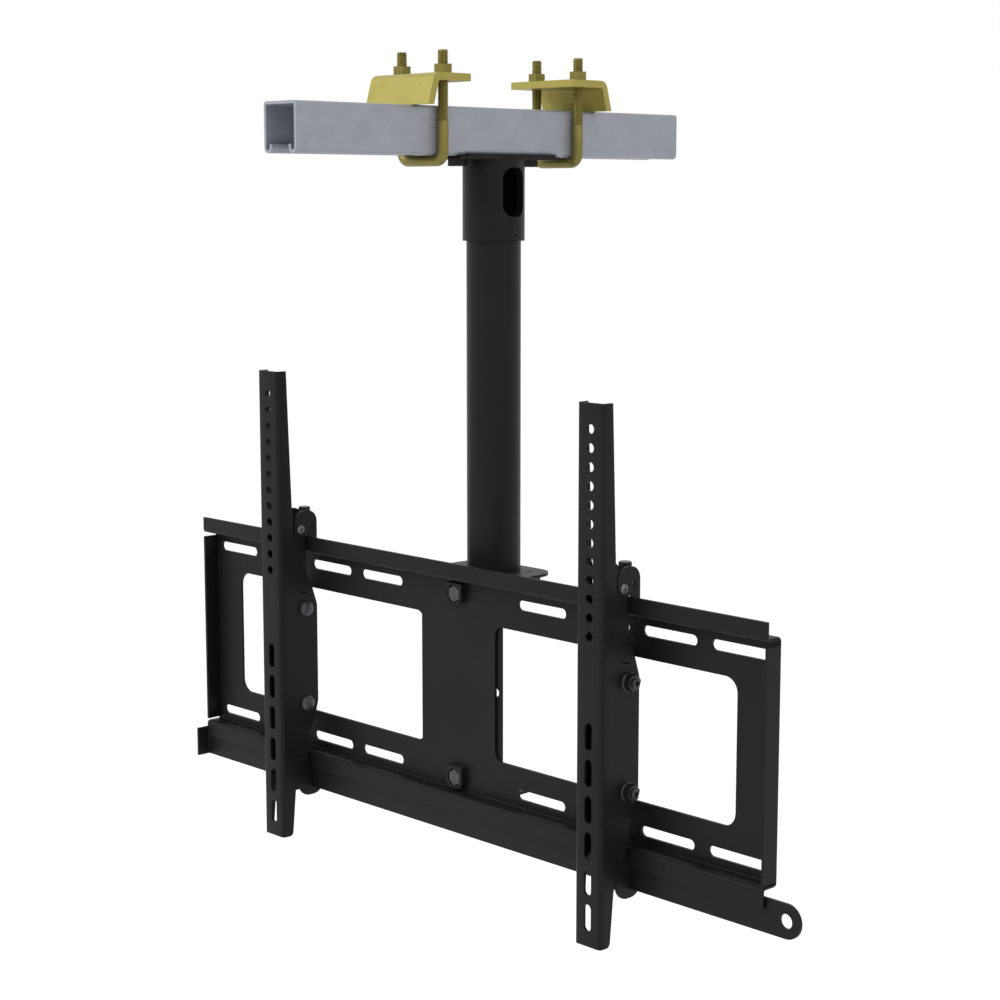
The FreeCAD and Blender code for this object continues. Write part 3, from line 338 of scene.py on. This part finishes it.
def rail_mesh(centre, foot_top):
    """A rail whose flange towards -X is narrower below foot_top."""
    left, right, back = centre - RAIL_HALF, centre + RAIL_HALF, -40.0
    inside = RAIL_FRONT + SHEET
    section = rounded([(left, back, 0), (left, RAIL_FRONT, RAIL_BEND),
                       (right, RAIL_FRONT, RAIL_BEND), (right, back, 0),
                       (right - SHEET, back, 0), (right - SHEET, inside, RAIL_BEND - SHEET),
                       (left + SHEET, inside, RAIL_BEND - SHEET), (left + SHEET, back, 0)])
    channel = prism(section, "Z", -690.0, -230.0)
    across = (left - PAST, right + PAST)
    rail = combined(channel, prism(rounded(RAIL_SIDE), "X", *across), "INTERSECT")
    through = (RAIL_FRONT - PAST, inside + PAST)
    holes = [prism(disc(centre, HOLE_TOP - HOLE_PITCH * i, HOLE_WIDTH), "Y", *through)
             for i in range(HOLES)]
    half = HOLE_WIDTH / 2
    holes += [prism(rounded_box(centre, SLOT_TOP - SLOT_PITCH * i, half, SLOT_LENGTH / 2,
                                half * 0.999, 8), "Y", *through) for i in range(SLOTS)]
    holes.append(prism(rounded(SLIT), "X", *across))
    holes.append(prism(foot_cut(foot_top), "X", left - PAST, centre))
    return combined(rail, joined(*holes))


# Hook brackets: two plates inside the rail's flanges, joined by a web
HOOK_OUT, HOOK_IN = 11.9, 9.5
CROSS_Y, CROSS_Z, CROSS_RADIUS = -65.7, -388.5, 3.0
WEB_Y, WEB_Z = (-52.0, -49.6), (-523.0, -475.0)
BRIDGE_Y, BRIDGE_Z = (-60.0, -46.8), (-388.3, -385.3)
TAB_Y, TAB_Z, TAB_SUNK = (-55.2, -51.5), (-388.5, -384.9), 0.7
# Side view (Y, Z, radius), round from the top of the front edge
HOOK_SIDE = [(-72.7, -371.0, 12), (-46.0, -371.0, 11), (-46.0, -407.5, 1), (-55.4, -407.5, 1),
             (-55.4, -395.0, 0.4), (-60.0, -395.0, 0.4), (-60.0, -431.0, 3), (-54.5, -445.0, 8),
             (-49.6, -462.0, 8), (-49.6, -556.0, 8), (-52.5, -566.5, 6), (-60.0, -587.0, 3),
             (-60.0, -623.5, 1), (-56.1, -630.0, 0.5), (-56.1, -641.9, 0.5), (-52.9, -641.9, 0.5),
             (-52.8, -627.9, 1), (-41.8, -627.9, 1), (-41.8, -649.5, 12), (-69.4, -649.5, 12),
             (-70.5, -641.0, 0), (-74.5, -613.0, 0), (-76.2, -600.0, 0), (-82.0, -500.0, 0),
             (-82.0, -402.0, 4), (-72.7, -396.0, 4)]
# Square hole in which a tab of the bridge shows
TAB_HOLE = [(-56.0, -384.0, 0.4), (-51.5, -384.0, 0.4), (-51.5, -388.6, 0.4), (-56.0, -388.6, 0.4)]

# Tilt joint: two bolts in slots about an axis in front of the rail, in degrees from rest
TILT_AXIS = (-137.0, -511.0)
TILT_BACK, TILT_FORWARD = 3.0, 8.5
BOLT_Y, BOLT_ROWS = -62.5, (-465.0, -557.0)
TILT_SLOT_HALF = 4.3


def tilt_slot(row):
    """Curved slot about the tilt axis, in which a bolt rides."""
    out = Vector((BOLT_Y - TILT_AXIS[0], row - TILT_AXIS[1]))
    middle, start = out.length, math.atan2(out.y, out.x)
    spare = TILT_SLOT_HALF / middle
    ends = (start - math.radians(TILT_BACK) - spare, start + math.radians(TILT_FORWARD) + spare)
    points = []
    for reach, first, last in ((middle + TILT_SLOT_HALF, *ends),
                               (middle - TILT_SLOT_HALF, *reversed(ends))):
        for k in range(9):
            angle = first + (last - first) * k / 8
            points.append(Vector((TILT_AXIS[0] + reach * math.cos(angle),
                                  TILT_AXIS[1] + reach * math.sin(angle))))
    return points


def hook_mesh(centre):
    plates = [prism(rounded(HOOK_SIDE), "X", centre + low, centre + high)
              for low, high in ((-HOOK_OUT, -HOOK_IN), (HOOK_IN, HOOK_OUT))]
    across = (centre - HOOK_OUT - PAST, centre + HOOK_OUT + PAST)
    holes = [prism(tilt_slot(row), "X", *across) for row in BOLT_ROWS]
    holes.append(prism(rounded(TAB_HOLE), "X", *across))
    cut = [combined(plate, joined(*holes)) for plate in plates]
    between = (centre - HOOK_IN, centre + HOOK_IN)
    tab_ends = (centre - HOOK_OUT + TAB_SUNK, centre + HOOK_OUT - TAB_SUNK)
    bar = turned([(CROSS_RADIUS, level) for level in between], "X", CROSS_Y, CROSS_Z)
    return joined(*cut, block(between, WEB_Y, WEB_Z), bar, block(between, BRIDGE_Y, BRIDGE_Z),
                  block(tab_ends, TAB_Y, TAB_Z))


# Screws and bolts of the hook brackets: heads as (radius, height)
CROSS_HEAD, CROSS_FLOOR, CROSS_ARM = (4.3, 2.4), 0.9, (2.4, 0.55)
TILT_HEAD, SHANK_RADIUS = (7.5, 5.0), 4.0
# (radius, distance from the rail's far flange) along the bolt's end, then the nut's flange
BOLT_END = ((4.0, 9.4), (3.3, 10.2), (2.4, 10.2), (2.0, 8.2))
NUT_FLANGE = ((8.4, 0.0), (8.4, 1.0), (7.2, 2.0))
NUT_FLATS, NUT_FROM, NUT_TO, NUT_TURN = 13.0, 1.9, 7.6, math.radians(12)
SLEEVE_RADIUS, SLEEVE_GAP = 6.0, 0.2
RIVET, RIVET_Y, RIVET_Z = (1.3, 0.4), -69.6, -612.0


def cross_head(centre, way):
    """A domed head with a cross recess."""
    seat = centre + way * HOOK_OUT
    head = dome(seat, way, *CROSS_HEAD, CROSS_Y, CROSS_Z)
    low, high = sorted((seat + way * CROSS_FLOOR, seat + way * (CROSS_HEAD[1] + PAST)))
    for half_y, half_z in (CROSS_ARM, reversed(CROSS_ARM)):
        arm = rounded_box(CROSS_Y, CROSS_Z, half_y, half_z, 0.3)
        head = combined(head, prism(arm, "X", low, high))
    return head


def tilt_hardware(centre, inward):
    """Two meshes: bolts, heads towards the mount's middle, with sleeves; nuts with rivets."""
    bolts, nuts = [], []
    seat, far = centre + inward * RAIL_HALF, centre - inward * RAIL_HALF
    for row in BOLT_ROWS:
        bolts.append(dome(seat, inward, *TILT_HEAD, BOLT_Y, row))
        shank = [(SHANK_RADIUS, seat)]
        shank += [(radius, far - inward * out) for radius, out in BOLT_END]
        bolts.append(turned(shank, "X", BOLT_Y, row))
        bolts.append(turned([(SLEEVE_RADIUS, centre - HOOK_IN + SLEEVE_GAP),
                             (SLEEVE_RADIUS, centre + HOOK_IN - SLEEVE_GAP)], "X", BOLT_Y, row))
        nuts.append(turned([(radius, far - inward * out) for radius, out in NUT_FLANGE],
                           "X", BOLT_Y, row))
        low, high = sorted((far - inward * NUT_FROM, far - inward * NUT_TO))
        nuts.append(prism(hexagon(BOLT_Y, row, NUT_FLATS, NUT_TURN), "X", low, high))
    for face, way in ((seat, inward), (far, -inward)):
        nuts.append(dome(face, way, *RIVET, RIVET_Y, RIVET_Z))
    return joined(*bolts), joined(*nuts)


for side, sign, foot_top in (("left", -1, -645.0), ("right", 1, -611.0)):
    centre = sign * RAIL_X
    bolts, nuts = tilt_hardware(centre, -sign)
    heads = joined(cross_head(centre, 1), cross_head(centre, -1))
    piece("rail_" + side, rail_mesh(centre, foot_top), coat, "rail_" + side, "black_coat",
          "tv_rail_" + side)
    piece("hook_" + side, hook_mesh(centre), coat, "frame", "black_coat",
          "hook_bracket_" + side, "cross_bar_" + side, "bridge_plate_" + side)
    piece("cross_heads_" + side, heads, bright_zinc, "frame", "zinc_fastener",
          "cross_screws_" + side)
    piece("tilt_hardware_" + side, bolts, nut_zinc, "rail_" + side, "zinc_fastener",
          "tilt_bolts_" + side, "tilt_sleeves_" + side)
    piece("tilt_nut_pair_" + side, nuts, dull_zinc, "rail_" + side, "zinc_fastener",
          "tilt_nuts_" + side)


# Square U-bolts with their threads
ROD_RADIUS, SPREAD, BEND, ROD_TOP, ROD_LOW = 4.65, 26.0, 8.0, 45.8, -45.95
PITCH, THREAD_DEPTH, THREAD_END = 1.5875, 0.85, -13.0
PITCH_STEPS, CHAMFER_ROWS, BEND_STEPS, AROUND = 6, 2, 8, 24


def leg_rows():
    """One leg's centre line, from its top to the bottom's middle: across, level, turn, thread."""
    step = PITCH / PITCH_STEPS
    rows = [(0.0, ROD_TOP - i * step, 0.0, True) for i in range(int((ROD_TOP - THREAD_END) / step))]
    rows += [(0.0, THREAD_END, 0.0, False), (0.0, ROD_LOW + BEND, 0.0, False)]
    for k in range(1, BEND_STEPS + 1):
        turn = math.pi / 2 * k / BEND_STEPS
        rows.append((BEND * (1 - math.cos(turn)), ROD_LOW + BEND - BEND * math.sin(turn),
                     turn, False))
    rows.append((SPREAD, ROD_LOW, math.pi / 2, False))
    return rows


def leg_mesh(y, sign):
    """The leg towards -X for sign 1, and towards +X for sign -1."""
    corners, faces = [], []
    rows = leg_rows()
    for n, (across, level, turn, threaded) in enumerate(rows):
        for i in range(AROUND):
            angle = 2 * math.pi * i / AROUND
            radius = ROD_RADIUS
            if threaded:
                phase = (level / PITCH - sign * i / AROUND) % 1.0
                radius -= THREAD_DEPTH * (abs(2 * phase - 1) if n > CHAMFER_ROWS else 1.0)
            aside = radius * math.cos(angle)
            corners.append((sign * (-SPREAD + across + aside * math.cos(turn)),
                            y + radius * math.sin(angle), level + aside * math.sin(turn)))
    for n in range(len(rows) - 1):
        for i in range(AROUND):
            j = (i + 1) % AROUND
            faces.append((n * AROUND + i, n * AROUND + j,
                          (n + 1) * AROUND + j, (n + 1) * AROUND + i))
    faces.append(tuple(range(AROUND)))
    return solid(corners, faces)


for end, y in (("front", -83.4), ("rear", 79.1)):
    rod = joined(leg_mesh(y, -1), leg_mesh(y, 1), weld=1e-5)
    piece("rod_" + end, rod, rod_zinc, "frame", "yellow_zinc", "ubolt_" + end)


# Height screws with knurled heads
SCREW_Y, SCREW_RADIUS, SCREW_TIP = -51.4, 3.0, -408.7
CORE_RADIUS, HEAD_SEAT, HEAD_TOP = 5.0, -383.0, -369.0
KNURL_RADIUS, KNURL_DEPTH, KNURL_TEETH = 5.5, 0.45, 34
KNURL_LOW, KNURL_HIGH = -382.4, -369.7


def knurled_screw(a, b):
    knurl = []
    for k in range(2 * KNURL_TEETH):
        radius, angle = KNURL_RADIUS - KNURL_DEPTH * (k % 2), math.pi * k / KNURL_TEETH
        knurl.append(Vector((a + radius * math.cos(angle), b + radius * math.sin(angle))))
    return joined(prism(knurl, "Z", KNURL_LOW, KNURL_HIGH),
                  turned([(CORE_RADIUS, HEAD_SEAT), (CORE_RADIUS, HEAD_TOP)], "Z", a, b),
                  turned([(SCREW_RADIUS, SCREW_TIP), (SCREW_RADIUS, HEAD_SEAT)], "Z", a, b))


for side, sign in (("left", -1), ("right", 1)):
    piece("knurled_screw_" + side, knurled_screw(sign * RAIL_X, SCREW_Y), nut_zinc,
          "height_screw_" + side, "zinc_fastener", "height_screw_" + side)


# Spacer blocks, shallow, with their bolts' heads sunk in them
BLOCK_HALF, BLOCK_CORNER, BLOCK_FRONT, BLOCK_BACK = 10.0, 6.5, -49.9, -43.5
RECESS_WIDTH, RECESS_FLOOR = 16.0, -45.0
SUNK_FLATS, SUNK_FRONT, SUNK_SEAT, SUNK_END, SUNK_SHANK = 13.0, -49.3, -44.9, -30.3, 8.0
# Name, row, and how far the block reaches above and below the row
BLOCKS = (("upper", -425.4, 9.8, 8.6), ("lower", -593.6, 10.4, 9.6))


def spacer_mesh(row, up, down):
    outline = rounded([(-BLOCK_HALF, row + up, 0), (BLOCK_HALF, row + up, 0),
                       (BLOCK_HALF, row - down, BLOCK_CORNER),
                       (-BLOCK_HALF, row - down, BLOCK_CORNER)])
    recess = prism(disc(0.0, row, RECESS_WIDTH), "Y", BLOCK_FRONT - PAST, RECESS_FLOOR)
    return combined(prism(outline, "Y", BLOCK_FRONT, BLOCK_BACK), recess)


def sunk_bolt(row):
    head = prism(hexagon(0.0, row, SUNK_FLATS, math.pi / 6), "Y", SUNK_FRONT, SUNK_SEAT)
    return joined(head, prism(disc(0.0, row, SUNK_SHANK), "Y", SUNK_SEAT, SUNK_END))


for name, row, up, down in BLOCKS:
    piece("spacer_" + name, spacer_mesh(row, up, down), plastic, "frame", "black_plastic",
          "plate_spacer_" + name)
piece("spacer_bolts", joined(*(sunk_bolt(row) for name, row, up, down in BLOCKS)), nut_zinc,
      "frame", "zinc_fastener", "bracket_bolts")


# Floor and light, in metres and watts
FLOOR_LEVEL, FLOOR_REACH, FLOOR_LIFT = -1.6, 12, 0.5
WORLD_LIGHT, WORLD_SEEN = 0.57, 1.0
LIT_POINT = Vector((0.0, 0.0, -0.35))
# Name, place, size, power
LAMPS = (("key", (-0.9, -2.2, 1.6), 1.4, 42.0), ("fill", (2.6, -0.4, 0.9), 1.6, 9.0))


def rays_that_see(tree):
    """1 for rays that look straight, in a reflection or through glass, 0 for light."""
    path = tree.nodes.new("ShaderNodeLightPath")
    total = path.outputs["Is Camera Ray"]
    for name in ("Is Glossy Ray", "Is Transmission Ray"):
        either = tree.nodes.new("ShaderNodeMath")
        either.operation = "MAXIMUM"
        tree.links.new(total, either.inputs[0])
        tree.links.new(path.outputs[name], either.inputs[1])
        total = either.outputs[0]
    return total


def pale_floor():
    """Pale floor that looks white where it is lit and keeps the object's shadow."""
    material = bpy.data.materials.new("floor")
    material.use_nodes = True
    tree = material.node_tree
    shader = tree.nodes["Principled BSDF"]
    shader.inputs["Base Color"].default_value = (0.9, 0.9, 0.9, 1.0)
    shader.inputs["Roughness"].default_value = 0.9
    shader.inputs["Specular IOR Level"].default_value = 0.0
    shader.inputs["Emission Color"].default_value = (1.0, 1.0, 1.0, 1.0)
    tree.links.new(span(tree, rays_that_see(tree), 0.0, FLOOR_LIFT),
                   shader.inputs["Emission Strength"])
    return material


def area_light(name, location, size, power):
    data = bpy.data.lights.new(name, "AREA")
    data.size = size
    data.energy = power
    light = bpy.data.objects.new(name, data)
    light.location = location
    aim = LIT_POINT - Vector(location)
    light.rotation_euler = aim.to_track_quat("-Z", "Y").to_euler()
    bpy.context.scene.collection.objects.link(light)


floor_mesh = bpy.data.meshes.new("floor")
floor_mesh.from_pydata([(x * FLOOR_REACH, y * FLOOR_REACH, 0)
                        for x, y in ((-1, -1), (1, -1), (1, 1), (-1, 1))], [], [(0, 1, 2, 3)])
floor = bpy.data.objects.new("floor", floor_mesh)
floor.location = (0.0, 0.0, FLOOR_LEVEL)
floor.data.materials.append(pale_floor())
bpy.context.scene.collection.objects.link(floor)

world = bpy.data.worlds.new("studio")
bpy.context.scene.world = world
world.use_nodes = True
background = world.node_tree.nodes["Background"]
background.inputs["Color"].default_value = (1.0, 1.0, 1.0, 1.0)
strength = span(world.node_tree, rays_that_see(world.node_tree), WORLD_LIGHT, WORLD_SEEN)
world.node_tree.links.new(strength, background.inputs["Strength"])

for lamp in LAMPS:
    area_light(*lamp)

bpy.context.scene.view_settings.view_transform = "Standard"
